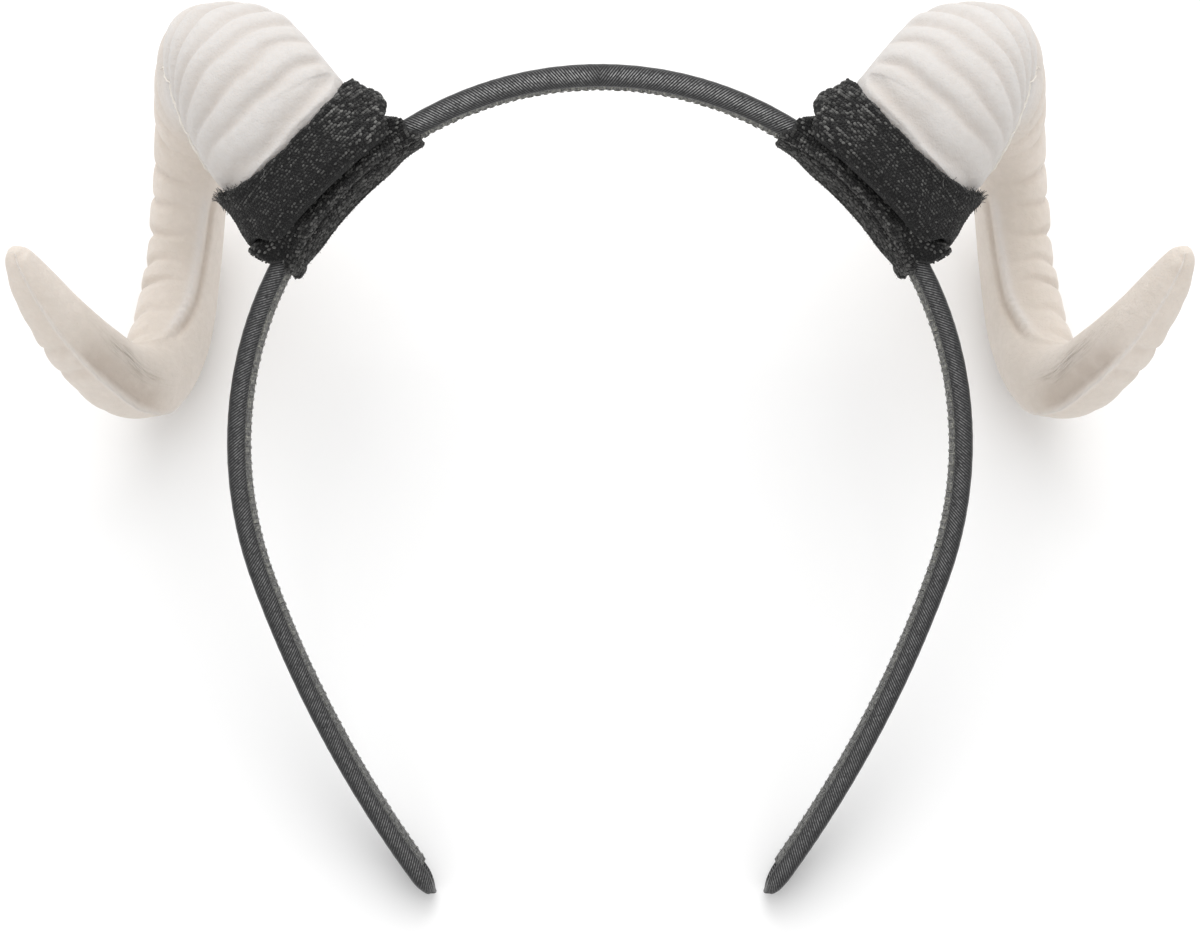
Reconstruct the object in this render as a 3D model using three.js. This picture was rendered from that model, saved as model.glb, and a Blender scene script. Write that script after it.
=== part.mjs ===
// A costume headband with two curled ram horns, lying on its back on a table.
// A springy satin-covered hoop carries a hollow moulded foam horn at each side of the crown. Each horn's
// root stands in a knitted collar on a stuffed pad, and a fabric tunnel under the pad holds the hoop.
//
// Millimetres. Every piece is shaped as it is worn: x to the wearer's left, y up, z to the front, with
// the origin at the centre of the crown's arc. The last step lays the headband on the ground, +Z up.
import * as THREE from 'three';

// The small gap between two pieces that touch.
const GAP = 0.3;

// Hoop: tangent arcs from the crown down to the leg's tip, with the radius of each centreline.
const CROWN_RADIUS = 65.4;
const CROWN_TURN = 77;
const SIDE_RADIUS = 70.8;
const SIDE_TURN = 33;
const LEG_RADIUS = 215;
const LEG_TURN = 17.2;
const HOOP_WIDTH = 9.6;
const HOOP_THICK = 2.4;
const HOOP_STEP = 5.4;
const HOOP_SIDES = 10;
const HOOP_SQUARENESS = 3;
const TIP_LENGTH = 6;
// Shares of its thickness and width that the hoop loses over each tip, and where the tip's sections lie.
const TIP_THINNING = 0.45;
const TIP_NARROWING = 0.5;
const TIP_SECTIONS = [0.5, 0.85, 1];

// Lining strip, glued along the inside of the hoop and ending short of its tips.
const STRIP_WIDTH = 7.4;
const STRIP_THICK = 0.8;
const STRIP_END_GAP = 5;

// Where each horn stands on the crown, and the stuffed pad that its root rests on inside the collar.
const HORN_ANGLE = 46.6;
const PAD_THICK = 2.2;

// Collar: a knitted band round the pad and the horn's root, fuller at its foot, which hangs over the
// tunnel as a skirt at the front and back. Its top edge is level at the front and back, and rises to a
// peak at its crown end and to an ear at its outer end.
const COLLAR_HEIGHT = 6;
const COLLAR_WALL = 1.5;
const COLLAR_BULGE = 1.7;
const COLLAR_SKIRT = 2.8;
const COLLAR_EAR = 5;
const COLLAR_PEAK = 2.4;
const COLLAR_SIDES = 24;

// Tunnel: a fabric strip round the hoop, fullest at its middle, with a tongue below each end.
const TUNNEL_LENGTH = 31;
const TUNNEL_WALL = 1.2;
const TUNNEL_BULGE = 2.6;
const TONGUE_LENGTH = 2.8;
const TUNNEL_SIDES = 12;
const TUNNEL_STEPS = 8;
const TUNNEL_SQUARENESS = 3.6;
const HOLE_SQUARENESS = 8;

// Horn: its root section, how far its centreline reaches from the root, its wall and its relief.
const ROOT_LENGTH = 28.4;
const ROOT_DEPTH = 23;
const HORN_REACH = 54;
const HORN_OUT = 31;
const HORN_BACK = 47;
const HORN_WALL = 2.4;
const CURL_TILT = 46;
const RIDGE_HEIGHT = 1.1;
const SEAM_HEIGHT = 0.5;
const HORN_SIDES = 18;
const HORN_SQUARENESS = 2.4;
const SECTIONS_PER_RIDGE = 3;
const RIDGES_PER_HOLLOW_SECTION = 2;
// The hollow ends where half the horn's width is so many walls. Degrees round the section: how soon the
// ridges rise past the crest seam, how far before the keel they fade, and half the breadth of a seam.
const HOLLOW_END_WALLS = 1.4;
const RIDGE_RISE = 20;
const RIDGE_FADE = 70;
const SEAM_BREADTH = 9;

const FOAM = { color: 0xe9e2db, roughness: 0.9, metalness: 0 };
const KNIT = { color: 0x1d1e20, roughness: 0.95, metalness: 0 };
const SATIN = { color: 0x2b2c2f, roughness: 0.55, metalness: 0 };
const LINING = { color: 0x2d2a28, roughness: 0.85, metalness: 0 };

const FULL_TURN = 360;
const { degToRad, clamp, lerp } = THREE.MathUtils;
const smooth = (share) => THREE.MathUtils.smoothstep(share, 0, 1);
const point = (x, y, z) => new THREE.Vector3(x, y, z);

// A point on the unit superellipse, which is fuller than a circle at a squareness over 2.
function roundedSquare(angle, squareness) {
  const power = 2 / squareness;
  const bent = (value) => Math.sign(value) * Math.abs(value) ** power;
  return [bent(Math.cos(angle)), bent(Math.sin(angle))];
}

// The room that a closed mesh takes up, and the middle of that room, weighed by volume.
function volumeOf(points, faces) {
  let volume = 0;
  const middle = point(0, 0, 0);
  for (let face = 0; face < faces.length; face += 3) {
    const [a, b, c] = [points[faces[face]], points[faces[face + 1]], points[faces[face + 2]]];
    const part = a.dot(b.clone().cross(c)) / 6;
    volume += part;
    middle.addScaledVector(a, part / 4).addScaledVector(b, part / 4).addScaledVector(c, part / 4);
  }
  return { volume, middle: middle.divideScalar(volume) };
}

// A closed mesh through rings of points. A loop joins its last ring to its first one, and an open row
// of rings has each end closed by a fan. The faces are turned outwards.
function loft(rings, loop = false) {
  const sides = rings[0].length;
  const points = rings.flat();
  const faces = [];
  for (let ring = 0; ring < (loop ? rings.length : rings.length - 1); ring += 1) {
    const here = ring * sides;
    const there = ((ring + 1) % rings.length) * sides;
    for (let side = 0; side < sides; side += 1) {
      const next = (side + 1) % sides;
      faces.push(here + side, here + next, there + next, here + side, there + next, there + side);
    }
  }
  for (const first of loop ? [] : [0, (rings.length - 1) * sides]) {
    const middle = point(0, 0, 0);
    for (let side = 0; side < sides; side += 1) {
      middle.addScaledVector(points[first + side], 1 / sides);
      const edge = [first + side, first + (side + 1) % sides];
      faces.push(...(first === 0 ? edge.reverse() : edge), points.length);
    }
    points.push(middle);
  }
  if (volumeOf(points, faces).volume < 0) faces.reverse();
  const geometry = new THREE.BufferGeometry().setFromPoints(points);
  geometry.setIndex(faces);
  return geometry;
}

// HOOP

const ARCS = [[CROWN_RADIUS, CROWN_TURN], [SIDE_RADIUS, SIDE_TURN], [LEG_RADIUS, LEG_TURN]];
const HALF_HOOP = ARCS.reduce((length, [radius, turn]) => length + radius * degToRad(turn), 0);

// The point of the hoop's centreline that lies a distance from the crown, and the way outwards there.
function hoopAt(distance) {
  const side = Math.sign(distance) || 1;
  const centre = point(0, 0, 0);
  let angle = 0;
  let left = Math.abs(distance);
  let lastRadius = CROWN_RADIUS;
  for (const [radius, turn] of ARCS) {
    const out = point(Math.sin(angle), Math.cos(angle), 0);
    centre.addScaledVector(out, lastRadius - radius);
    lastRadius = radius;
    const step = radius === LEG_RADIUS ? left : Math.min(left, radius * degToRad(turn));
    angle += step / radius;
    left -= step;
    if (left <= 0) break;
  }
  const out = point(Math.sin(angle), Math.cos(angle), 0);
  const at = centre.addScaledVector(out, lastRadius);
  return { at: at.setX(at.x * side), out: out.setX(out.x * side) };
}

// A point beside the hoop's centreline: so far along, outwards and to the front.
function besideHoop(distance, outwards, forwards) {
  const { at, out } = hoopAt(distance);
  return at.addScaledVector(out, outwards).setZ(forwards);
}

// How far along the hoop each of its sections lies. They lie closer together in its tips.
function hoopSections() {
  const tipStart = HALF_HOOP - TIP_LENGTH;
  const count = Math.ceil((2 * tipStart) / HOOP_STEP);
  const middle = Array.from({ length: count + 1 }, (_, i) => lerp(-tipStart, tipStart, i / count));
  const tip = TIP_SECTIONS.map((share) => tipStart + TIP_LENGTH * share);
  return [...tip.map((value) => -value).reverse(), ...middle, ...tip];
}

function makeHoop() {
  return loft(hoopSections().map((distance) => {
    const intoTip = clamp((Math.abs(distance) - HALF_HOOP + TIP_LENGTH) / TIP_LENGTH, 0, 1);
    const thick = HOOP_THICK * (1 - TIP_THINNING * intoTip ** 2);
    const width = HOOP_WIDTH * (1 - TIP_NARROWING * intoTip ** 3);
    return Array.from({ length: HOOP_SIDES }, (_, side) => {
      const [forwards, outwards] = roundedSquare((side + 0.5) * 2 * Math.PI / HOOP_SIDES, HOOP_SQUARENESS);
      return besideHoop(distance, outwards * thick / 2, forwards * width / 2);
    });
  }));
}

function makeStrip() {
  const end = HALF_HOOP - STRIP_END_GAP;
  const top = -HOOP_THICK / 2 - GAP;
  const count = Math.ceil(2 * end / HOOP_STEP);
  return loft(Array.from({ length: count + 1 }, (_, step) => {
    const distance = lerp(-end, end, step / count);
    return [[-1, 0], [1, 0], [1, 1], [-1, 1]].map(([side, depth]) => (
      besideHoop(distance, top - depth * STRIP_THICK, side * STRIP_WIDTH / 2)));
  }));
}

// TUNNEL

// The tunnel's seat on the hoop, and the heights above the hoop's centreline that its stack has there.
const SEAT = CROWN_RADIUS * degToRad(HORN_ANGLE);
const TUNNEL_TOP = HOOP_THICK / 2 + GAP + TUNNEL_WALL;
const TUNNEL_FLOOR = HOOP_THICK / 2 + GAP + STRIP_THICK + GAP + TUNNEL_WALL;
const PAD_BOTTOM = TUNNEL_TOP + GAP;
const ROOT_SEAT = PAD_BOTTOM + PAD_THICK + GAP;

// The tunnel follows the hoop below and is level with the pad's flat bottom above. Its rings run along
// the outside and back along the hole.
function makeTunnel() {
  const seat = hoopAt(SEAT);
  const ring = (share, hole) => Array.from({ length: TUNNEL_SIDES }, (_, side) => {
    const squareness = hole ? HOLE_SQUARENESS : TUNNEL_SQUARENESS;
    const [forwards, outwards] = roundedSquare((side + 0.5) * 2 * Math.PI / TUNNEL_SIDES, squareness);
    const wall = hole ? 0 : TUNNEL_WALL;
    const bulge = hole ? 0 : TUNNEL_BULGE * (1 - share ** 4);
    const reach = TUNNEL_LENGTH / 2 + TONGUE_LENGTH * smooth(-outwards);
    const distance = SEAT + share * reach;
    const { at, out } = hoopAt(distance);
    const drop = TUNNEL_TOP - at.sub(seat.at).dot(seat.out);
    const top = hole ? HOOP_THICK / 2 + GAP : drop / out.dot(seat.out);
    const floor = TUNNEL_FLOOR - TUNNEL_WALL + wall;
    return besideHoop(distance, outwards * (outwards > 0 ? top : floor),
      forwards * (HOOP_WIDTH / 2 + GAP + wall + bulge));
  });
  const shares = Array.from({ length: TUNNEL_STEPS + 1 }, (_, step) => lerp(-1, 1, step / TUNNEL_STEPS));
  const outside = shares.map((share) => ring(share, false));
  const hole = shares.map((share) => ring(share, true)).reverse();
  return loft([...outside, ...hole], true);
}

// The horn, the pad and the collar are shaped at their seat: x along the hoop towards its tip, y
// outwards from the hoop's centreline, and z to the front.
function seated(geometry) {
  const { at } = hoopAt(SEAT);
  return geometry.rotateZ(-degToRad(HORN_ANGLE)).translate(at.x, at.y, at.z);
}

// HORN

// The horn's sections from its root to its tip. The centreline's place along, out and back is a share of
// HORN_REACH, HORN_OUT and HORN_BACK, wide is a share of half ROOT_LENGTH, and deep of half ROOT_DEPTH.
// Ring is how many ridges lie below the section. Crest and keel are where the two glued seams lie, in
// degrees round the section from the outside of the curl towards the head: the ridges lie between.
const HORN_COLUMNS = ['along', 'out', 'back', 'wide', 'deep', 'ring', 'crest', 'keel'];
const HORN_ROWS = [
  [0, 0, 0, 1, 1, 0, 80, -100],
  [0, 0.14, 0, 1, 1.01, 1.4, 80, -100],
  [-0.003, 0.28, 0.004, 1.02, 1.08, 2.5, 80, -100],
  [-0.025, 0.505, 0.045, 0.985, 1.13, 4.2, 75, -105],
  [-0.045, 0.73, 0.16, 0.91, 1.11, 6.2, 65, -120],
  [-0.012, 0.935, 0.383, 0.745, 1.035, 8.2, 50, -150],
  [0.078, 1, 0.638, 0.62, 0.983, 10.2, 35, -180],
  [0.22, 0.91, 0.86, 0.52, 0.94, 12.3, 20, -205],
  [0.4, 0.71, 0.99, 0.493, 0.904, 14.5, 10, -215],
  [0.588, 0.45, 0.99, 0.486, 0.87, 16.8, 10, -215],
  [0.784, 0.18, 0.872, 0.507, 0.783, 19.2, 15, -210],
  [0.937, 0.015, 0.66, 0.486, 0.66, 21.3, 20, -190],
  [0.997, 0.075, 0.436, 0.458, 0.59, 23, 25, -170],
  [0.992, 0.25, 0.245, 0.423, 0.522, 24.6, 25, -160],
  [0.965, 0.47, 0.074, 0.366, 0.452, 26.2, 25, -155],
  [0.927, 0.67, -0.053, 0.29, 0.357, 27.6, 25, -155],
  [0.886, 0.818, -0.149, 0.17, 0.21, 28.8, 25, -155],
  [0.87, 0.856, -0.183, 0.065, 0.08, 29.2, 25, -155],
];
const LAST_ROW = HORN_ROWS.length - 1;
const LAST_RING = HORN_ROWS[LAST_ROW][HORN_COLUMNS.indexOf('ring')];

// The table's values between two rows, on a smooth curve through all of them.
function hornValues(place) {
  const index = clamp(Math.floor(place), 0, LAST_ROW - 1);
  const u = place - index;
  const row = (i) => HORN_ROWS[clamp(i, 0, LAST_ROW)];
  return Object.fromEntries(HORN_COLUMNS.map((name, column) => {
    const [b, c] = [row(index)[column], row(index + 1)[column]];
    const a = index > 0 ? row(index - 1)[column] : 2 * b - c;
    const d = index < LAST_ROW - 1 ? row(index + 2)[column] : 2 * c - b;
    const bend = (2 * a - 5 * b + 4 * c - d) * u * u + (3 * b - a - 3 * c + d) * u ** 3;
    return [name, (2 * b + (c - a) * u + bend) / 2];
  }));
}

function hornCentre(values) {
  return point(values.along * HORN_REACH, ROOT_SEAT + values.out * HORN_OUT, -values.back * HORN_BACK);
}

// The place in the table where a number of ridges has been passed, found by halving.
function placeOfRing(ring) {
  let [low, high] = [0, LAST_ROW];
  for (let halving = 0; halving < 30; halving += 1) {
    const middle = (low + high) / 2;
    if (hornValues(middle).ring < ring) low = middle; else high = middle;
  }
  return high;
}

// How far the surface stands out at a direction round the section: rounded ridges on the outer half,
// which start softly beside the crest seam and fade out before the keel, and a bead on each seam.
function relief(values, direction) {
  const pastCrest = THREE.MathUtils.euclideanModulo(values.crest - direction, FULL_TURN);
  const span = values.crest - values.keel;
  const faded = smooth(pastCrest / RIDGE_RISE) * smooth((span - pastCrest) / RIDGE_FADE);
  const within = pastCrest < span ? faded : 0;
  const aboveNeck = smooth((values.ring - 1) / 2);
  const ridge = Math.abs(Math.sin(Math.PI * values.ring)) ** 0.85 - 0.6;
  const bead = [values.crest, values.keel].reduce((height, seam) => {
    const past = THREE.MathUtils.euclideanModulo(direction - seam, FULL_TURN);
    return height + Math.exp(-((Math.min(past, FULL_TURN - past) / SEAM_BREADTH) ** 2));
  }, 0);
  const size = Math.min(1, 1.6 * values.wide) * aboveNeck;
  return size * (RIDGE_HEIGHT * within * ridge + SEAM_HEIGHT * bead);
}

// The horn's section at a place in the table: its middle, the way to the outside of the curl, and the
// way across it towards the head.
function hornSection(place) {
  const values = hornValues(place);
  const step = 0.001;
  const tangent = hornCentre(hornValues(place + step)).sub(hornCentre(hornValues(place - step))).normalize();
  const across = point(-Math.cos(degToRad(CURL_TILT)), -Math.sin(degToRad(CURL_TILT)), 0);
  across.addScaledVector(tangent, -across.dot(tangent)).normalize();
  return { values, middle: hornCentre(values), outside: tangent.clone().cross(across), across };
}

// A ring of points round a section, each moved away from the horn's plain surface.
function ringRound({ values, middle, outside, across }, sides, away) {
  const wide = values.wide * ROOT_LENGTH / 2;
  const deep = values.deep * ROOT_DEPTH / 2;
  return Array.from({ length: sides }, (_, side) => {
    const angle = side * 2 * Math.PI / sides;
    const [outwards, inwards] = [Math.cos(angle), Math.sin(angle)];
    const size = (Math.abs(outwards) / deep) ** HORN_SQUARENESS
      + (Math.abs(inwards) / wide) ** HORN_SQUARENESS;
    const radius = size ** (-1 / HORN_SQUARENESS) + away(THREE.MathUtils.radToDeg(angle));
    const spot = middle.clone().addScaledVector(outside, radius * outwards);
    return spot.addScaledVector(across, radius * inwards);
  });
}

// A hollow shell, open at its root. Its rings run from the hollow's tip to the root and out to the tip.
function makeHorn() {
  const places = [];
  for (let section = 0; section / SECTIONS_PER_RIDGE < LAST_RING; section += 1) {
    places.push(placeOfRing(section / SECTIONS_PER_RIDGE));
  }
  const hollow = places.filter((place, section) => (
    section % (SECTIONS_PER_RIDGE * RIDGES_PER_HOLLOW_SECTION) === 0
    && hornValues(place).wide * ROOT_LENGTH / 2 > HOLLOW_END_WALLS * HORN_WALL));
  const outer = [...places, LAST_ROW].map((place) => {
    const section = hornSection(place);
    return ringRound(section, HORN_SIDES, (direction) => relief(section.values, direction));
  });
  const inner = hollow.map((place) => ringRound(hornSection(place), HORN_SIDES, () => -HORN_WALL));
  return seated(loft([...inner.reverse(), ...outer]));
}

// PAD AND COLLAR

// The horn's neck at a height above the hoop's centreline. Below the root it goes on as the root does.
function neckAt(height) {
  let place = 0;
  while (hornCentre(hornValues(place)).y < height) place += 0.02;
  return hornSection(place);
}

// Shares of the pad's thickness from its bottom up, and how far its rounded edge stands in there.
const PAD_ROWS = [[0, 0.5], [0.3, 0], [0.7, 0], [1, 0.5]];

function makePad() {
  return seated(loft(PAD_ROWS.map(([height, inset]) => (
    ringRound(hornSection(0), COLLAR_SIDES, () => -inset).map((p) => (
      p.setY(PAD_BOTTOM + PAD_THICK * height)))))));
}

// Rows up the collar's wall: the share of its height, and of its bulge, which dies out above the foot.
const COLLAR_ROWS = [[0, 0.3], [0.22, 1], [0.6, 0.35], [1, 0]];

function makeCollar() {
  const foot = (along) => PAD_BOTTOM - COLLAR_SKIRT * smooth((0.85 - Math.abs(along)) / 0.35);
  const top = (along) => PAD_BOTTOM + COLLAR_HEIGHT
    + (along > 0 ? COLLAR_EAR * along ** 2.4 : COLLAR_PEAK * (-along) ** 4);
  const face = (outer) => COLLAR_ROWS.map(([share, bulge]) => (
    Array.from({ length: COLLAR_SIDES }, (_, side) => {
      const along = -Math.sin(side * 2 * Math.PI / COLLAR_SIDES);
      const height = lerp(foot(along), top(along), share);
      const away = GAP + (outer ? COLLAR_WALL + COLLAR_BULGE * bulge : 0);
      return ringRound(neckAt(height), COLLAR_SIDES, () => away)[side].setY(height);
    })));
  return seated(loft([...face(true), ...face(false).reverse()], true));
}

// ASSEMBLY

function mirrored(geometry) {
  const copy = geometry.clone().scale(-1, 1, 1);
  copy.setIndex([...copy.index.array].reverse());
  return copy;
}

const pieces = [['hoop', makeHoop(), SATIN], ['lining_strip', makeStrip(), LINING]];
const pairs = [['horn', makeHorn(), FOAM], ['collar', makeCollar(), KNIT], ['pad', makePad(), KNIT],
  ['tunnel', makeTunnel(), KNIT]];
for (const [name, geometry, finish] of pairs) {
  pieces.push([`${name}_left`, geometry, finish], [`${name}_right`, mirrored(geometry), finish]);
}

const headband = new THREE.Group();
for (const [name, geometry, finish] of pieces) {
  const mesh = new THREE.Mesh(geometry, new THREE.MeshStandardMaterial(finish));
  mesh.name = name;
  headband.add(mesh);
}

// The lower edge of the side view, from the tips to the crown, as the corners of its convex outline.
function underside(points) {
  const corners = [];
  for (const p of [...points].sort((a, b) => a.y - b.y || a.z - b.z)) {
    while (corners.length > 1) {
      const [q, r] = corners.slice(-2);
      if ((r.y - q.y) * (p.z - q.z) - (r.z - q.z) * (p.y - q.y) > 0) break;
      corners.pop();
    }
    corners.push(p);
  }
  return corners;
}

// The headband lies on its back: on the first edge of its underside, from the hoop's tips on, that its
// centre of mass stands squarely over.
function layDown(group) {
  const all = [];
  const mass = { volume: 0, middle: point(0, 0, 0) };
  for (const { geometry } of group.children) {
    const at = geometry.attributes.position;
    const points = Array.from({ length: at.count }, (_, i) => point(0, 0, 0).fromBufferAttribute(at, i));
    const { volume, middle } = volumeOf(points, geometry.index.array);
    mass.volume += volume;
    mass.middle.addScaledVector(middle, volume);
    all.push(...points);
  }
  const centre = mass.middle.divideScalar(mass.volume);
  const corners = underside(all);
  const edges = corners.slice(1).map((to, corner) => to.clone().sub(corners[corner]).setX(0));
  const rest = edges.find((edge, corner) => {
    const share = centre.clone().sub(corners[corner]).dot(edge) / edge.lengthSq();
    return share > 0 && share < 1;
  });
  group.rotation.x = -Math.atan2(rest.z, rest.y);
  group.updateMatrixWorld(true);
  const box = new THREE.Box3().setFromObject(group, true);
  group.position.y = -(box.min.y + box.max.y) / 2;
  group.position.z = -box.min.z;
}

layDown(headband);

export default headband;
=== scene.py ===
import math

import bpy
import numpy as np
from mathutils import Matrix, Vector


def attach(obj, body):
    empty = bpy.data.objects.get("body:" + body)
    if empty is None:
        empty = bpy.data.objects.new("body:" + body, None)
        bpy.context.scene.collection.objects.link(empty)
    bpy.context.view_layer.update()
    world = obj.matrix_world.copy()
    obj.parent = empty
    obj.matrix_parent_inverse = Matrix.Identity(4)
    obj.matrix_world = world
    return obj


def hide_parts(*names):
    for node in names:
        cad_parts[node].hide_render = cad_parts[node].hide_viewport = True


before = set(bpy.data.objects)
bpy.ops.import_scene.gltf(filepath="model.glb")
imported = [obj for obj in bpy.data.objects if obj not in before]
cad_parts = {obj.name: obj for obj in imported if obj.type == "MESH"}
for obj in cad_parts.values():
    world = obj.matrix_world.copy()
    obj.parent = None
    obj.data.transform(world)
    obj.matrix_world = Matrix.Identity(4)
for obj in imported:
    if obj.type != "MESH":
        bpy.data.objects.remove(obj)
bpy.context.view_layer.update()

# Hoop: a sprung band, wound tightly with charcoal satin ribbon. The ribbon's fine twill leans away from
# the crown on both sides. Its edges are turned in under the lining, and its ends are tucked into the tips.
CROWN_RADIUS, CROWN_TURN = 65.4, 77
SIDE_RADIUS, SIDE_TURN = 70.8, 33
LEG_RADIUS, LEG_TURN = 215, 17.2
HOOP_WIDTH = 9.6
HOOP_THICK = 2.4
TIP_LENGTH = 6
GAP = 0.3
METRES = 0.001
ARCS = [(CROWN_RADIUS, CROWN_TURN), (SIDE_RADIUS, SIDE_TURN), (LEG_RADIUS, LEG_TURN)]
HALF_HOOP = sum(radius * math.radians(turn) for radius, turn in ARCS)


def smooth(share):
    share = np.clip(share, 0, 1)
    return share * share * (3 - 2 * share)


def lying_pose():
    """How the worn headband is turned and moved to lie on the floor, read from the hoop of the frame."""
    points = np.array([v.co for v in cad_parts["hoop"].data.vertices]) / METRES
    normal = np.linalg.svd(points - points.mean(0), full_matrices=False)[2][2]
    turn = np.array(Matrix.Rotation(math.atan2(-normal[1] / normal[2], 1), 3, "X"))
    upright = points @ turn
    top = upright[:, 1].max() - CROWN_RADIUS - HOOP_THICK / 2
    front = (upright[:, 2].max() + upright[:, 2].min()) / 2
    return turn, turn @ np.array([0, top, front])


TURN, SHIFT = lying_pose()


def to_floor(points):
    return (np.asarray(points, float) @ TURN.T + SHIFT) * METRES


def hoop_at(distance):
    """The hoop's centreline at distances from the crown, and the way outwards there."""
    distance = np.asarray(distance, float)
    left = np.abs(distance)
    angle = np.zeros_like(left)
    centre = np.zeros(left.shape + (2,))
    radius_now = np.full_like(left, CROWN_RADIUS)
    done = 0
    for (radius, turn), (last, last_turn) in zip(ARCS[1:], ARCS[:-1]):
        done += last * math.radians(last_turn)
        beyond = left > done
        corner = math.radians(sum(t for _, t in ARCS[:ARCS.index((radius, turn))]))
        out = np.array([math.sin(corner), math.cos(corner)])
        centre[beyond] += out * (last - radius)
        radius_now[beyond] = radius
    start = 0
    for radius, turn in ARCS:
        length = radius * math.radians(turn)
        step = np.clip(left - start, 0, None if radius == LEG_RADIUS else length)
        angle += step / radius
        start += length
    out = np.stack([np.sin(angle), np.cos(angle)], -1)
    at = centre + out * radius_now[..., None]
    side = np.where(distance < 0, -1.0, 1.0)
    at[..., 0] *= side
    out[..., 0] *= side
    return at, out


def beside_hoop(distance, outwards, forwards):
    """Points beside the hoop's centreline: so far along, outwards and to the front."""
    distance, outwards, forwards = np.broadcast_arrays(distance, outwards, forwards)
    at, out = hoop_at(distance)
    return np.concatenate([at + out * outwards[..., None], forwards[..., None]], -1)


def bell(distance, width):
    return np.exp(-(distance / width) ** 2)


def rounded_square(angle, squareness):
    """Points on the unit superellipse, which is fuller than a circle at a squareness over 2."""
    bent = lambda value: np.sign(value) * np.abs(value) ** (2 / squareness)
    return bent(np.cos(angle)), bent(np.sin(angle))


def skin(name, rings, weave, loop=False, mirrored=False, shades=None):
    """A closed, smooth mesh through rings of worn points, with its faces turned outwards. weave is each
    point's place on the cloth in millimetres, and has one more column than the rings. A loop joins its
    last ring to its first, and an open row of rings has its ends closed. shades are for materials."""
    count, sides = rings.shape[:2]
    row, column = np.meshgrid(np.arange(count if loop else count - 1), np.arange(sides), indexing="ij")
    corners = [(0, 0), (0, 1), (1, 1), (1, 0)]
    quads = np.stack([((row + r) % count) * sides + (column + c) % sides for r, c in corners], -1)
    maps = np.stack([weave[np.minimum(row + r, len(weave) - 1), column + c] for r, c in corners], -2)
    quads, maps = quads.reshape(-1, 4), maps.reshape(-1, 4, 2)
    points = rings.reshape(-1, 3)
    faces, places = quads.tolist(), maps.tolist()
    for first in [] if loop else [0, count - 1]:
        points = np.vstack([points, rings[first].mean(0)])
        for side in range(sides):
            edge = [first * sides + side, first * sides + (side + 1) % sides]
            at = [weave[first, side], weave[first, side + 1]]
            if first == 0:
                edge, at = edge[::-1], at[::-1]
            faces.append(edge + [len(points) - 1])
            places.append([*at, weave[first].mean(0)])
    points = points * [-1 if mirrored else 1, 1, 1]
    a, b, c, d = (points[quads[:, corner]] for corner in range(4))
    inside_out = (np.einsum("ij,ij->i", a, np.cross(b, c) + np.cross(c, d))).sum() < 0
    if inside_out:
        faces, places = [face[::-1] for face in faces], [place[::-1] for place in places]
    mesh = bpy.data.meshes.new(name)
    mesh.from_pydata(to_floor(points).tolist(), [], faces)
    uv = mesh.uv_layers.new(name="weave")
    uv.data.foreach_set("uv", np.concatenate([np.ravel(place) for place in places]))
    for shade, values in (shades or {}).items():
        ends = [] if loop else [values[0].mean(), values[-1].mean()]
        attribute = mesh.attributes.new(shade, "FLOAT", "POINT")
        attribute.data.foreach_set("value", np.concatenate([values.ravel(), ends]).astype(np.float32))
    mesh.shade_smooth()
    return placed(name, mesh)


def placed(name, mesh):
    piece = bpy.data.objects.new(name, mesh)
    bpy.context.scene.collection.objects.link(piece)
    return piece


def weave_map(along, around):
    """A map for skin() from the places along a piece and round it."""
    return np.stack(np.broadcast_arrays(along[:, None], around[None, :]), -1)


def add_node(tree, kind, settings=None, **sockets):
    """Adds a node. A socket is given by its name, or by _0, _1 and so on for its number."""
    made = tree.nodes.new(kind)
    for key, value in (settings or {}).items():
        setattr(made, key, value)
    for key, value in sockets.items():
        socket = made.inputs[int(key[1:]) if key[0] == "_" else key.replace("_", " ")]
        if isinstance(value, bpy.types.NodeSocket):
            tree.links.new(value, socket)
        else:
            socket.default_value = value
    return made


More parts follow.
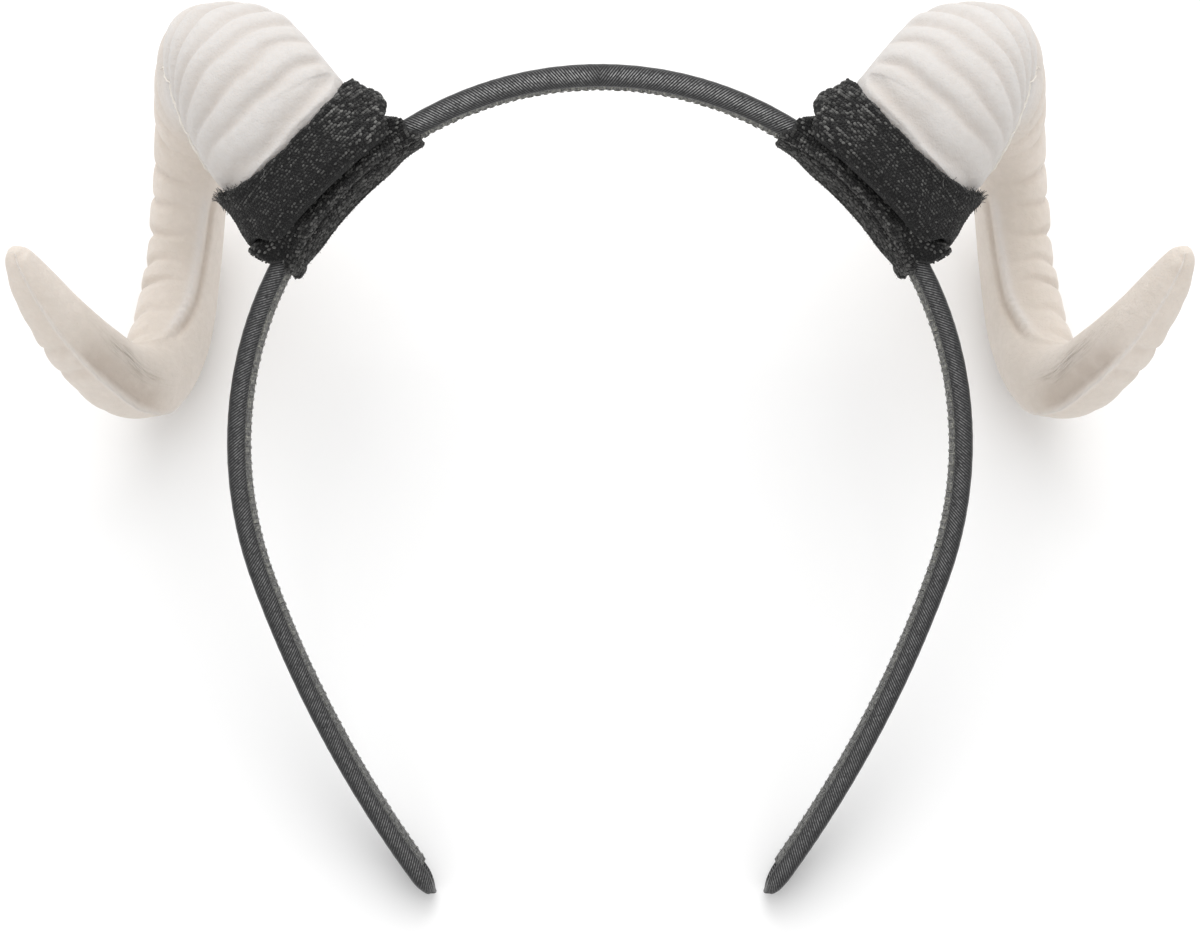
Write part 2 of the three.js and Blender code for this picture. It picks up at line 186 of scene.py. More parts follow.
class Finish:
    """A material whose nodes are added one by one. Its colour is set at the end."""

    def __init__(self, name, rough, sheen=0.0, sheen_rough=0.4, specular=0.5, under=0.0):
        self.material = bpy.data.materials.new(name)
        self.material.use_nodes = True
        self.tree = self.material.node_tree
        self.shader = self.tree.nodes["Principled BSDF"]
        constants = {"Roughness": rough, "Sheen Weight": sheen, "Sheen Roughness": sheen_rough,
                     "Specular IOR Level": specular, "Subsurface Weight": under}
        for socket, value in constants.items():
            self.shader.inputs[socket].default_value = value
        self.shader.inputs["Subsurface Radius"].default_value = (1.0, 0.8, 0.65)
        self.shader.inputs["Subsurface Scale"].default_value = 2.5 * METRES

    def add(self, kind, settings=None, **sockets):
        return add_node(self.tree, "ShaderNode" + kind, settings, **sockets)

    def math(self, operation, a, b=0.0, c=0.0):
        return self.add("Math", {"operation": operation}, _0=a, _1=b, _2=c).outputs[0]

    def attribute(self, name):
        return self.add("Attribute", {"attribute_name": name}).outputs["Fac"]

    def place(self):
        """The place on the object, in millimetres."""
        coordinate = self.add("TexCoord").outputs["Object"]
        return self.add("VectorMath", {"operation": "SCALE"}, _0=coordinate, Scale=1 / METRES).outputs[0]

    def woven(self):
        """The place along and round the cloth, in millimetres."""
        split = self.add("SeparateXYZ", _0=self.add("UVMap", {"uv_map": "weave"}).outputs[0])
        return split.outputs[0], split.outputs[1]

    def noise(self, size, detail=2.0, vector=None):
        made = self.add("TexNoise", Vector=vector or self.place(), Scale=1 / size, Detail=detail)
        return made.outputs["Fac"]

    def wave(self, position, pitch):
        """From 0 to 1 and back once in each pitch of a place in millimetres."""
        turns = self.math("MULTIPLY", position, math.tau / pitch)
        return self.math("MULTIPLY_ADD", self.math("SINE", turns), 0.5, 0.5)

    def mix(self, share, low, high):
        made = self.add("Mix", {"data_type": "RGBA"})
        for socket, value in zip(("Factor_Float", "A_Color", "B_Color"), (share, low, high)):
            target = next(s for s in made.inputs if s.identifier == socket)
            if isinstance(value, bpy.types.NodeSocket):
                self.tree.links.new(value, target)
            else:
                target.default_value = value if socket == "Factor_Float" else (*value, 1)
        return next(s for s in made.outputs if s.identifier == "Result_Color")

    def ramp(self, value, low, high):
        return self.add("MapRange", _0=value, _1=low, _2=high).outputs[0]

    def bump(self, height, depth, strength=1.0):
        """Raises the surface by up to a depth in millimetres where height is 1."""
        last = self.shader.inputs["Normal"]
        before = last.links[0].from_socket if last.links else None
        made = self.add("Bump", Height=height, Distance=depth * METRES, Strength=strength)
        if before:
            self.tree.links.new(before, made.inputs["Normal"])
        self.tree.links.new(made.outputs[0], last)

    def link(self, socket, value):
        self.tree.links.new(value, self.shader.inputs[socket])


def dress(piece, finish, slot, *nodes):
    """Gives a finished piece its material, hides the nodes that it stands for, and attaches it to what it
    moves with.
    """
    piece.data.materials.clear()
    piece.data.materials.append(finish.material)
    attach(piece, "root")
    if nodes:
        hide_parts(*nodes)


HOOP_SIDES = 56
HOOP_SECTIONS, TIP_SECTIONS = 320, 14
HOOP_SQUARENESS = 3
CROWN_PART, LEG_FADE = 20, 60
# The cover's folded edges stand this far in from the band. The rear one is lower by a share.
FOLD, REAR_FOLD, CROWN_SAG = 1.9, 0.55, 0.35
FOLD_AT_CROWN, FOLD_AT_LEGS, FOLD_BLUR = 0.55, 0.7, 0.12
TIP_THINS, TIP_NARROWS, TIP_SKEW = 0.35, 0.5, 0.7
TWILL_PITCH = 0.55
TWILL_LEAN = 0.75
# A painted highlight: the twill's colour is lighter along the band's front, most at the crown but not
# where its twill turns over.
SHINE_AT, SHINE_WIDTH, SHINE_AT_CROWN, SHINE_LOST = -1.1, 0.95, 1.6, 1.15
TWILL_TURN = 2


def towards_legs(distance):
    """0 at the crown between the horns and 1 on the legs."""
    return smooth((np.abs(distance) - CROWN_PART) / LEG_FADE)


ends = HALF_HOOP - TIP_LENGTH
tip = ends + TIP_LENGTH * np.sin(np.linspace(0, math.pi / 2, TIP_SECTIONS))[1:]
along = np.concatenate([-tip[::-1], np.linspace(-ends, ends, HOOP_SECTIONS), tip])
around = np.linspace(0, math.tau, HOOP_SIDES + 1)
into_tip = np.clip((np.abs(along) - ends) / TIP_LENGTH, 0, 1)[:, None]
forwards, outwards = rounded_square(around[None, :-1], HOOP_SQUARENESS)
ripple = 0.02 * np.sin(along * 1.9 + 2 * np.sin(along * 0.31))[:, None] * np.sin(around[None, :-1] * 2)
on_leg = towards_legs(along)[:, None]
fold_start = FOLD_AT_CROWN + (FOLD_AT_LEGS - FOLD_AT_CROWN) * on_leg
fold = (FOLD + CROWN_SAG * (1 - on_leg)) * smooth((np.abs(forwards) - fold_start) / FOLD_BLUR)
fold = fold * (outwards < 0) * (1 - into_tip ** 4) * np.where(forwards > 0, 1, REAR_FOLD)
thick = (HOOP_THICK / 2 + fold + ripple) * (1 - TIP_THINS * into_tip ** 4)
width = (HOOP_WIDTH / 2 + ripple) * (1 - TIP_NARROWS * into_tip ** 3)
skew = -TIP_SKEW * np.sign(along)[:, None] * into_tip ** 2 * np.sin(around[None, :-1])
rings = beside_hoop(along[:, None] + skew, outwards * thick, forwards * width)
section = np.concatenate([rings[len(along) // 2], rings[len(along) // 2][:1]])
girth = np.cumsum(np.linalg.norm(np.diff(section, axis=0, prepend=section[:1]), axis=1))
# The twill has to meet itself, so a whole number of its ribs goes round the band.
girth *= round(girth[-1] * TWILL_LEAN / TWILL_PITCH) * TWILL_PITCH / TWILL_LEAN / girth[-1]
painted_shine = (SHINE_AT_CROWN - SHINE_LOST * smooth(np.abs(along) / 90)) * (1 - 0.7 * bell(along, TWILL_TURN))
front = bell(outwards * thick - SHINE_AT, SHINE_WIDTH) * painted_shine[:, None]
hoop_cover = skin("hoop_cover", rings, weave_map(along, girth), shades={"front": front})

satin = Finish("charcoal_satin", 0.45, sheen=0.06, sheen_rough=0.35, specular=0.35)
u, v = satin.woven()
leaning = satin.math("MULTIPLY_ADD", v, -TWILL_LEAN, satin.math("ABSOLUTE", u))
twill = satin.wave(leaning, TWILL_PITCH)
threads = satin.noise(0.5, 3.0)
# Painted highlight: the twill's colour is mixed towards pale grey by this share of painted shine.
painted_light = satin.math("MULTIPLY_ADD", satin.attribute("front"), 0.9, 0.1)
shade = satin.math("MULTIPLY", satin.math("POWER", twill, 2.0), satin.ramp(threads, 0.25, 0.65))
satin.link("Base Color", satin.mix(satin.math("MULTIPLY", shade, painted_light), (0.012, 0.012, 0.013),
                                   (0.48, 0.48, 0.48)))
satin.bump(satin.math("MULTIPLY", twill, painted_light), 0.12)
satin.bump(threads, 0.04)
dress(hoop_cover, satin, "satin", "hoop")

# Lining: a black ribbed ribbon, glued along the inside of the hoop over the cover's edges. It stops short
# of the tips. Loops of its weft stand out along both of its woven edges, paler than its middle.
STRIP_WIDTH = 7.4
STRIP_THICK = 0.8
STRIP_END_GAP = 5
STRIP_SIDES, STRIP_SECTIONS = 20, 620
STRIP_SQUARENESS = 5
OPEN_AT_CROWN, OPEN_AT_LEGS = 2.75, 3.45
RIBBON_RIB, CURL_PITCH = 0.7, 1.7
LOOP_PITCH, LOOP_INSET, LOOP_LESS_ON_LEGS = 1.5, 0.25, 0.45


def unit(vector):
    return vector / np.linalg.norm(vector, axis=-1, keepdims=True)


def bed(name, points, along, outwards, mirrored=False, size=1.0):
    """Loose points on a worn surface, each with the turn and the size that a stitch or a fibre has there.
    A stitch lies along the cloth's rows and stands outwards."""
    flip = np.array([-1 if mirrored else 1, 1, 1])
    points, along, outwards = (np.reshape(values, (-1, 3)) * flip for values in (points, along, outwards))
    way, up = unit(along @ TURN.T), outwards @ TURN.T
    side = unit(np.cross(up, way))
    up = np.cross(way, side)
    turns = [Matrix(np.stack(axes, -1).tolist()).to_euler() for axes in zip(way, side, up)]
    mesh = bpy.data.meshes.new(name)
    mesh.from_pydata(to_floor(points).tolist(), [], [])
    mesh.attributes.new("turn", "FLOAT_VECTOR", "POINT").data.foreach_set("vector", np.ravel(turns))
    sizes = np.broadcast_to(np.ravel(size), len(points)).astype(np.float32)
    mesh.attributes.new("size", "FLOAT", "POINT").data.foreach_set("value", sizes)
    return placed(name, mesh)


def stitch_shape(tree, size):
    """One rounded stitch, long in its row."""
    grain = add_node(tree, "GeometryNodeMeshIcoSphere", Radius=0.5, Subdivisions=1).outputs[0]
    scale = add_node(tree, "ShaderNodeCombineXYZ", _0=size["Length"], _1=size["Width"], _2=size["Height"])
    return add_node(tree, "GeometryNodeTransform", Geometry=grain, Scale=scale.outputs[0]).outputs[0]


def sower(name, shape):
    """A Geometry Nodes tree that sets one shape on every point of a bed, uneven in its size and turn. Its
    inputs are sizes in metres, the most that a shape is tilted and swung in radians, and a seed."""
    tree = bpy.data.node_groups.new(name, "GeometryNodeTree")
    put = tree.interface.new_socket
    put("Bed", in_out="INPUT", socket_type="NodeSocketGeometry")
    for size in ("Length", "Width", "Height", "Tilt", "Swing"):
        put(size, in_out="INPUT", socket_type="NodeSocketFloat")
    put("Seed", in_out="INPUT", socket_type="NodeSocketInt")
    put("Yarn", in_out="INPUT", socket_type="NodeSocketMaterial")
    put("Sown", in_out="OUTPUT", socket_type="NodeSocketGeometry")
    given = add_node(tree, "NodeGroupInput").outputs
    swings = []
    for sign in (-1, 1):
        limits = [add_node(tree, "ShaderNodeMath", {"operation": "MULTIPLY"}, _0=given[most], _1=sign)
                  for most in ("Tilt", "Tilt", "Swing")]
        swings.append(add_node(tree, "ShaderNodeCombineXYZ", _0=limits[0].outputs[0],
                               _1=limits[1].outputs[0], _2=limits[2].outputs[0]).outputs[0])
    chance = add_node(tree, "FunctionNodeRandomValue", {"data_type": "FLOAT_VECTOR"}, Min=swings[0],
                      Max=swings[1], Seed=given["Seed"]).outputs["Value"]
    named = {"data_type": "FLOAT_VECTOR"}
    lie = add_node(tree, "GeometryNodeInputNamedAttribute", named, Name="turn").outputs["Attribute"]
    lie = add_node(tree, "FunctionNodeEulerToRotation", _0=lie).outputs[0]
    chance = add_node(tree, "FunctionNodeEulerToRotation", _0=chance).outputs[0]
    turn = add_node(tree, "FunctionNodeRotateRotation", {"rotation_space": "LOCAL"}, _0=lie, _1=chance)
    size = add_node(tree, "GeometryNodeInputNamedAttribute", {"data_type": "FLOAT"}, Name="size")
    uneven = random_share(tree, given["Seed"], 0.75, 1.2)
    scale = add_node(tree, "ShaderNodeMath", {"operation": "MULTIPLY"}, _0=size.outputs["Attribute"],
                     _1=uneven).outputs[0]
    sown = add_node(tree, "GeometryNodeInstanceOnPoints", Points=given["Bed"], Instance=shape(tree, given),
                    Rotation=turn.outputs[0], Scale=scale).outputs[0]
    tone = random_share(tree, given["Seed"], 0.0, 1.0)
    sown = add_node(tree, "GeometryNodeStoreNamedAttribute", {"data_type": "FLOAT", "domain": "INSTANCE"},
                    Geometry=sown, Name="tone", Value=tone).outputs[0]
    sown = add_node(tree, "GeometryNodeRealizeInstances", Geometry=sown).outputs[0]
    sown = add_node(tree, "GeometryNodeSetShadeSmooth", Geometry=sown, Shade_Smooth=True).outputs[0]
    sown = add_node(tree, "GeometryNodeSetMaterial", Geometry=sown, Material=given["Yarn"]).outputs[0]
    add_node(tree, "NodeGroupOutput", Sown=sown)
    return tree


def random_share(tree, seed, low, high):
    made = add_node(tree, "FunctionNodeRandomValue", {"data_type": "FLOAT"}, Seed=seed)
    for socket, value in (("Min_001", low), ("Max_001", high)):
        next(s for s in made.inputs if s.identifier == socket).default_value = value
    return next(s for s in made.outputs if s.identifier == "Value_001")


def sow(holder, tree, finish, **inputs):
    """Grows a bed's stitches or fibres, and keeps them as a plain mesh under the bed's name."""
    modifier = holder.modifiers.new("sower", "NODES")
    modifier.node_group = tree
    inputs["Yarn"] = finish.material
    for socket in tree.interface.items_tree:
        if socket.in_out == "INPUT" and socket.name in inputs:
            modifier[socket.identifier] = inputs[socket.name]
    grown = bpy.data.meshes.new_from_object(holder.evaluated_get(bpy.context.evaluated_depsgraph_get()))
    name = holder.name
    bpy.data.objects.remove(holder)
    return placed(name, grown)


STITCHES = sower("stitch_sower", stitch_shape)

end = HALF_HOOP - STRIP_END_GAP
along = np.linspace(-end, end, STRIP_SECTIONS)
around = np.linspace(0, math.tau, STRIP_SIDES + 1)
forwards, outwards = rounded_square(around[None, :-1], STRIP_SQUARENESS)


def strip_edge(distance):
    """Half the width of the lining that the cover's folded edges leave open."""
    wavy = 0.1 * np.sin(distance * 2.1 + 1.4 * np.sin(distance * 0.23)) + 0.04 * np.sin(distance * 7.3)
    return OPEN_AT_CROWN + (OPEN_AT_LEGS - OPEN_AT_CROWN) * towards_legs(distance) + wavy


def strip_middle(distance):
    """How far out the middle of the lining lies from the hoop's centreline."""
    return -HOOP_THICK / 2 - GAP - STRIP_THICK / 2 - CROWN_SAG * (1 - towards_legs(distance))


rings = beside_hoop(along[:, None], outwards * STRIP_THICK / 2 + strip_middle(along)[:, None],
                    forwards * strip_edge(along)[:, None])
pale_edge = np.broadcast_to(0.6 * np.abs(forwards) ** 10, rings.shape[:2])
near_tip = np.broadcast_to(smooth((np.abs(along) - 90) / 80)[:, None], rings.shape[:2])
lining_ribbon = skin("lining_ribbon", rings, weave_map(along, around * STRIP_WIDTH * 0.35),
                     shades={"tone": pale_edge, "reach": near_tip})

lining = Finish("black_ribbed_ribbon", 0.75, sheen=0.25)
u, v = lining.woven()
ribs = lining.wave(u, RIBBON_RIB)
across = lining.add("CombineXYZ", _0=u, _1=lining.math("MULTIPLY", v, 0.2)).outputs[0]
threads = lining.ramp(lining.noise(0.6, 3.0, across), 0.42, 0.60)
curls = lining.wave(lining.math("MULTIPLY_ADD", lining.noise(2.0), 3.0, u), CURL_PITCH)
shade = lining.math("MULTIPLY", lining.math("MULTIPLY_ADD", ribs, 0.5, 0.5),
                    lining.math("MULTIPLY", threads, lining.math("MULTIPLY_ADD", curls, 0.5, 0.5)))
shade = lining.math("MULTIPLY", shade, lining.math("MULTIPLY_ADD", lining.attribute("reach"), -0.7, 1.0))
body = lining.mix(shade, (0.010, 0.010, 0.008), (0.30, 0.296, 0.243))
lining.link("Base Color", lining.mix(lining.math("MULTIPLY", lining.attribute("tone"), threads), body,
                                     (0.20, 0.20, 0.17)))
lining.bump(ribs, 0.15)
lining.bump(threads, 0.2)
lining.bump(curls, 0.3)
dress(lining_ribbon, lining, "lining", "lining_strip")

loops = np.arange(-end + 1, end - 1, LOOP_PITCH)
loops = np.concatenate([loops, loops])
sides = np.repeat([-1, 1], len(loops) // 2)
face = strip_middle(loops) - STRIP_THICK / 2
at = beside_hoop(loops, face, sides * (strip_edge(loops) - LOOP_INSET))
ahead = beside_hoop(loops + 0.01, face, sides * (strip_edge(loops) - LOOP_INSET))
selvedge = bed("lining_selvedge", at, ahead - at, -beside_hoop(loops, face, 0) * [1, 1, 0],
               size=1 - LOOP_LESS_ON_LEGS * towards_legs(loops))
selvedge = sow(selvedge, STITCHES, lining, Length=1.3 * METRES, Width=0.5 * METRES, Height=0.2 * METRES,
               Tilt=0.12, Swing=0.5, Seed=3)
dress(selvedge, lining, "lining")

# Horn: two halves moulded in foam with a velvety skin, glued along two seams. It is hollow and open at its
# root, ringed with rounded ridges, and curls outwards, back and round to the front. The seams meet on the
# tip, a torn edge of skin stands along one of them at the root, and the foam is creased where it folds.
HORN_ANGLE = 46.6
SEAT = CROWN_RADIUS * math.radians(HORN_ANGLE)
TUNNEL_WALL = 1.2
PAD_THICK = 2.2
PAD_BOTTOM = HOOP_THICK / 2 + GAP + TUNNEL_WALL + GAP
ROOT_SEAT = PAD_BOTTOM + PAD_THICK + GAP
ROOT_LENGTH, ROOT_DEPTH = 28.4, 23
HORN_REACH, HORN_OUT, HORN_BACK = 54, 31, 47
HORN_WALL = 2.4
CURL_TILT = 46
RIDGE_HEIGHT = 0.95
HORN_SQUARENESS = 2.4
HORN_SIDES = 128
SECTIONS_PER_RIDGE = 14
# The horn's sections from its root to its tip. Along, out and back are shares of HORN_REACH, HORN_OUT
# and HORN_BACK, wide is a share of half ROOT_LENGTH, and deep of half ROOT_DEPTH. Ring counts the
# sections' places. Crest and keel are where the two seams lie, in degrees from the outside of the curl.
HORN_COLUMNS = ["along", "out", "back", "wide", "deep", "ring", "crest", "keel"]
HORN_ROWS = np.array([
    [0, 0, 0, 1, 1, 0, 60, -100],
    [0, 0.14, 0, 1, 1.01, 1.4, 60, -100],
    [-0.003, 0.28, 0.004, 1.02, 1.08, 2.5, 60, -100],
    [-0.025, 0.505, 0.045, 0.985, 1.13, 4.2, 60, -105],
    [-0.045, 0.73, 0.16, 0.91, 1.11, 6.2, 56, -120],
    [-0.012, 0.935, 0.383, 0.745, 1.035, 8.2, 48, -150],
    [0.078, 1, 0.638, 0.62, 0.983, 10.2, 35, -180],
    [0.22, 0.91, 0.86, 0.52, 0.94, 12.3, 20, -205],
    [0.4, 0.71, 0.99, 0.493, 0.904, 14.5, 10, -210],
    [0.588, 0.45, 0.99, 0.486, 0.87, 16.8, 10, -210],
    [0.784, 0.18, 0.872, 0.507, 0.783, 19.2, 20, -208],
    [0.937, 0.015, 0.66, 0.486, 0.66, 21.3, 34, -195],
    [0.997, 0.075, 0.436, 0.458, 0.59, 23, 31, -175],
    [0.992, 0.25, 0.245, 0.423, 0.522, 24.6, 23, -163],
    [0.965, 0.47, 0.074, 0.366, 0.452, 26.2, 17, -158],
    [0.927, 0.67, -0.053, 0.29, 0.357, 27.6, 14, -156],
    [0.886, 0.818, -0.149, 0.17, 0.21, 28.8, 12, -155],
    [0.87, 0.856, -0.183, 0.065, 0.08, 29.2, 12, -155],
])
LAST_ROW = len(HORN_ROWS) - 1
HORN_CURVE = np.vstack([2 * HORN_ROWS[0] - HORN_ROWS[1], HORN_ROWS, 2 * HORN_ROWS[-1] - HORN_ROWS[-2]])
# Where the valleys between the ridges lie, as places in the ring column.
VALLEYS = [0, 1.05, 2.0, 3.1, 3.95, 4.95, 5.8, 6.8, 7.7, 8.6, 9.5, 10.4, 11.45, 13.1, 14.4, 16.0, 17.25,
           18.15, 19.6, 20.8, 22, 23.1, 24.1, 25, 25.9, 26.7, 27.5, 28.4, 29.2]


def horn_values(place):
    """The table's values between two rows, on a smooth curve through all of them."""
    place = np.asarray(place, float)
    index = np.clip(np.floor(place).astype(int), 0, LAST_ROW - 1)
    u = (place - index)[..., None]
    a, b, c, d = (HORN_CURVE[index + step] for step in range(4))
    bend = (2 * a - 5 * b + 4 * c - d) * u ** 2 + (3 * b - a - 3 * c + d) * u ** 3
    values = (2 * b + (c - a) * u + bend) / 2
    return dict(zip(HORN_COLUMNS, np.moveaxis(values, -1, 0)))


def horn_centre(place):
    values = horn_values(place)
    return np.stack([values["along"] * HORN_REACH, ROOT_SEAT + values["out"] * HORN_OUT,
                     -values["back"] * HORN_BACK], -1)


def horn_frame(place):
    """The middle of the horn's section, the way to the outside of the curl and the way across it."""
    step = 0.001
    tangent = unit(horn_centre(place + step) - horn_centre(place - step))
    tilt = math.radians(CURL_TILT)
    across = np.array([-math.cos(tilt), -math.sin(tilt), 0])
    across = unit(across - tangent * (tangent @ across)[..., None])
    return horn_centre(place), np.cross(tangent, across), across


def horn_radius(place, angle):
    values = horn_values(place)
    wide, deep = values["wide"] * ROOT_LENGTH / 2, values["deep"] * ROOT_DEPTH / 2
    size = (np.abs(np.cos(angle)) / deep) ** HORN_SQUARENESS
    size = size + (np.abs(np.sin(angle)) / wide) ** HORN_SQUARENESS
    return size ** (-1 / HORN_SQUARENESS)


def horn_point(place, angle, away):
    """Points round the horn's sections, moved away from its plain surface, in its seat's own frame."""
    place, angle, away = np.broadcast_arrays(place, angle, away)
    middle, outside, across = horn_frame(place)
    radius = horn_radius(place, angle) + away
    out, over = (radius * np.cos(angle))[..., None], (radius * np.sin(angle))[..., None]
    return middle + outside * out + across * over


def seated_way(ways):
    """Turns directions from the seat's own frame, x along the hoop, y outwards, to the worn headband's."""
    turn = math.radians(HORN_ANGLE)
    x, y, z = np.moveaxis(ways, -1, 0)
    cos, sin = math.cos(turn), math.sin(turn)
    return np.stack([x * cos + y * sin, y * cos - x * sin, z], -1)


def seated(points):
    return seated_way(points) + [*hoop_at(SEAT)[0], 0]


def past(direction, seam):
    """How many degrees a direction lies past a seam, from -180 to 180."""
    return (direction - seam + 180) % 360 - 180


def within(value, low, high, blur):
    """1 between two values and 0 outside them, with soft ends."""
    return smooth((value - low) / blur) * smooth((high - value) / blur)


def horn_relief(place, angle):
    """How far the horn's surface stands out, and shades from 0 to 1: painted shade in its valleys,
    beside the keel and in the fold's hollow, how creased it is, a painted highlight along the seams'
    beads, and how far it is along the horn."""
    place, angle = np.broadcast_arrays(place, angle)
    values = horn_values(place)
    ring, crest, keel = values["ring"], values["crest"], values["keel"]
    direction = np.degrees(angle)
    front = past(direction, 0)
    slant = np.clip(0.004 * (ring - 2), 0, 0.014) * smooth((9 - ring) / 2)
    number = np.interp(ring, VALLEYS, np.arange(len(VALLEYS))) - slant * front
    number = number + 0.06 * np.sin(3 * angle + ring * 0.9) + 0.04 * np.sin(7 * angle + ring * 2)
    waist = within(ring, 9.5, 21.5, 1.5)
    valley = bell(number - np.round(number), 0.21 - 0.06 * waist)
    span = crest - keel
    past_crest = (crest - direction) % 360
    past_edge = (past_crest + 16 * smooth((6 - ring) / 3)) % 360
    fade = 14 + 18 * smooth((7 - ring) / 3)
    ridged = np.where(past_edge < span, smooth(past_edge / fade) * smooth((span - past_crest) / 70), 0)
    ridged = ridged * smooth((ring - 0.6) / 0.8) * np.minimum(1, 1.6 * values["wide"])
    notched = 0.25 + within(ring, 24.3, 26.6, 0.7)
    ridged = ridged * (1 + 0.4 * waist) * (1 + (notched - 1) * smooth((ring - 21.5) / 1))
    strength = 1 + 0.2 * np.sin(ring * 2.3 + angle)
    relief = RIDGE_HEIGHT * ridged * strength * (0.35 - valley)

    size = np.minimum(1, 2 * values["wide"])
    folded = within(ring, 21.6, 26.4, 1.6)
    descending = within(ring, 13.2, 21.2, 1.4)
    crest_line = bell(past(direction, crest), 3.5) * smooth((ring - 20.5) / 2)
    keel_bead = bell(past(direction, keel + 2), 7) * smooth((ring - 13) / 2)
    relief = relief + (0.6 * size + 0.5 * smooth((ring - 28.2) / 0.6)) * crest_line
    relief = relief + 0.55 * size * keel_bead
    beside_keel = bell(past(direction, keel - 8), 5.5) * descending
    relief = relief - 0.75 * beside_keel
    cross_ribs = bell(past(direction, keel), 7) * within(ring, 18.2, 21, 0.7)
    relief = relief + 0.18 * cross_ribs * np.sin(math.tau * ring / 0.36)
    beside_crest = past(direction, crest)
    hollow = smooth((beside_crest - 1) / 9) * bell(np.maximum(beside_crest - 14, 0), 34) * folded
    relief = relief - 1.7 * hollow * bell(ring - 23.8, 1.9)
    creased = bell(past(direction, 88), 14) * bell(ring - 24, 1.3)
    lumps = 0.18 * np.sin(ring * 1.3 + 2 * angle) * np.sin(2 * angle + 1) * smooth((ring - 7) / 3)
    relief = relief + lumps * size
    # Painted shade: darker colour in the valleys between the ridges, beside the keel and in the hollow of
    # the fold.
    dark = valley * ridged * (0.5 - 0.2 * smooth((ring - 8) / 3)) + beside_keel
    dark = dark + 1.8 * hollow * bell(ring - 24, 2.4)
    # Painted highlight along the crest's bead on the tip and along the keel's bead where the horn
    # descends.
    painted_bead_highlight = np.maximum(0.8 * crest_line, bell(past(direction, keel + 5), 5) * descending)
    return [relief] + [np.clip(value, 0, 1) for value in (dark, creased, painted_bead_highlight, ring / HORN_ROWS[-1][5])]


def row_of_ring(ring):
    """The place in the table where a number of ridges has been passed."""
    rows = np.linspace(0, LAST_ROW, 4000)
    return np.interp(ring, horn_values(rows)["ring"], rows)


last_ring = HORN_ROWS[-1][HORN_COLUMNS.index("ring")]
places = row_of_ring(np.linspace(0, last_ring, int(last_ring * SECTIONS_PER_RIDGE)))[:, None]
angles = np.linspace(0, math.tau, HORN_SIDES, endpoint=False)[None, :]
relief, painted_hollow_shade, creased, painted_bead_highlight, share = horn_relief(places, angles)
outer = horn_point(places, angles, relief)
hollow_places = row_of_ring(np.arange(22, -0.1, -1))[:, None]
inner = horn_point(hollow_places, angles, -HORN_WALL)
flat = np.zeros(inner.shape[:2])
horn_rings = np.concatenate([inner, outer])
middles = horn_centre(np.concatenate([hollow_places, places])[:, 0])
lengths = np.cumsum(np.linalg.norm(np.diff(middles, axis=0, prepend=middles[:1]), axis=1))
horn_weave = weave_map(lengths, np.linspace(0, math.tau, HORN_SIDES + 1) * 10)
horn_shades = {"painted_hollow_shade": painted_hollow_shade, "creased": creased, "painted_bead_highlight": painted_bead_highlight, "reach": share}
horn_shades = {name: np.concatenate([flat, values]) for name, values in horn_shades.items()}

foam = Finish("off_white_foam", 0.9, sheen=0.15, sheen_rough=0.6, specular=0.2, under=0.1)
u, v = foam.woven()
mottle = foam.noise(14, 3.0)
cloud = foam.noise(3.5, 4.0)
skin_grain = foam.noise(0.35, 2.0)
velvet = foam.ramp(foam.noise(1.4, 4.0), 0.35, 0.65)
along_creases = foam.add("CombineXYZ", _0=foam.math("MULTIPLY", u, 0.12), _1=v).outputs[0]
fine_creases = foam.noise(0.6, 3.0, along_creases)
root = foam.mix(foam.ramp(mottle, 0.35, 0.65), (0.61, 0.58, 0.555), (0.65, 0.625, 0.605))
far = foam.mix(foam.ramp(mottle, 0.35, 0.65), (0.70, 0.63, 0.56), (0.75, 0.68, 0.615))
body = foam.mix(foam.ramp(foam.attribute("reach"), 0.24, 0.36), root, far)
body = foam.mix(foam.math("MULTIPLY", velvet, 0.12), body, (0.50, 0.44, 0.38))
# Painted shade, made patchy by the cloud noise, in the valleys, beside the keel and in the fold's hollow.
patchy_painted_shade = foam.math("MULTIPLY", foam.attribute("painted_hollow_shade"), foam.ramp(cloud, 0.0, 0.5))
body = foam.mix(foam.math("MULTIPLY", patchy_painted_shade, 0.5), body, (0.47, 0.385, 0.315))
# Painted highlight along the seams' beads.
body = foam.mix(foam.math("MULTIPLY", foam.attribute("painted_bead_highlight"), 0.7), body, (0.74, 0.70, 0.67))
crease_shade = foam.math("MULTIPLY", foam.attribute("creased"), foam.ramp(fine_creases, 0.45, 0.62))
body = foam.mix(foam.math("MULTIPLY", crease_shade, 0.6), body, (0.40, 0.33, 0.26))
foam.link("Base Color", body)
foam.bump(skin_grain, 0.08)
foam.bump(velvet, 0.06)
foam.bump(cloud, 0.2)
foam.bump(foam.math("MULTIPLY", foam.attribute("creased"), fine_creases), -0.7)

torn_foam = Finish("torn_foam_skin", 0.9, specular=0.2)
torn_foam.link("Base Color", torn_foam.mix(torn_foam.noise(1.5), (0.74, 0.70, 0.64), (0.86, 0.83, 0.77)))

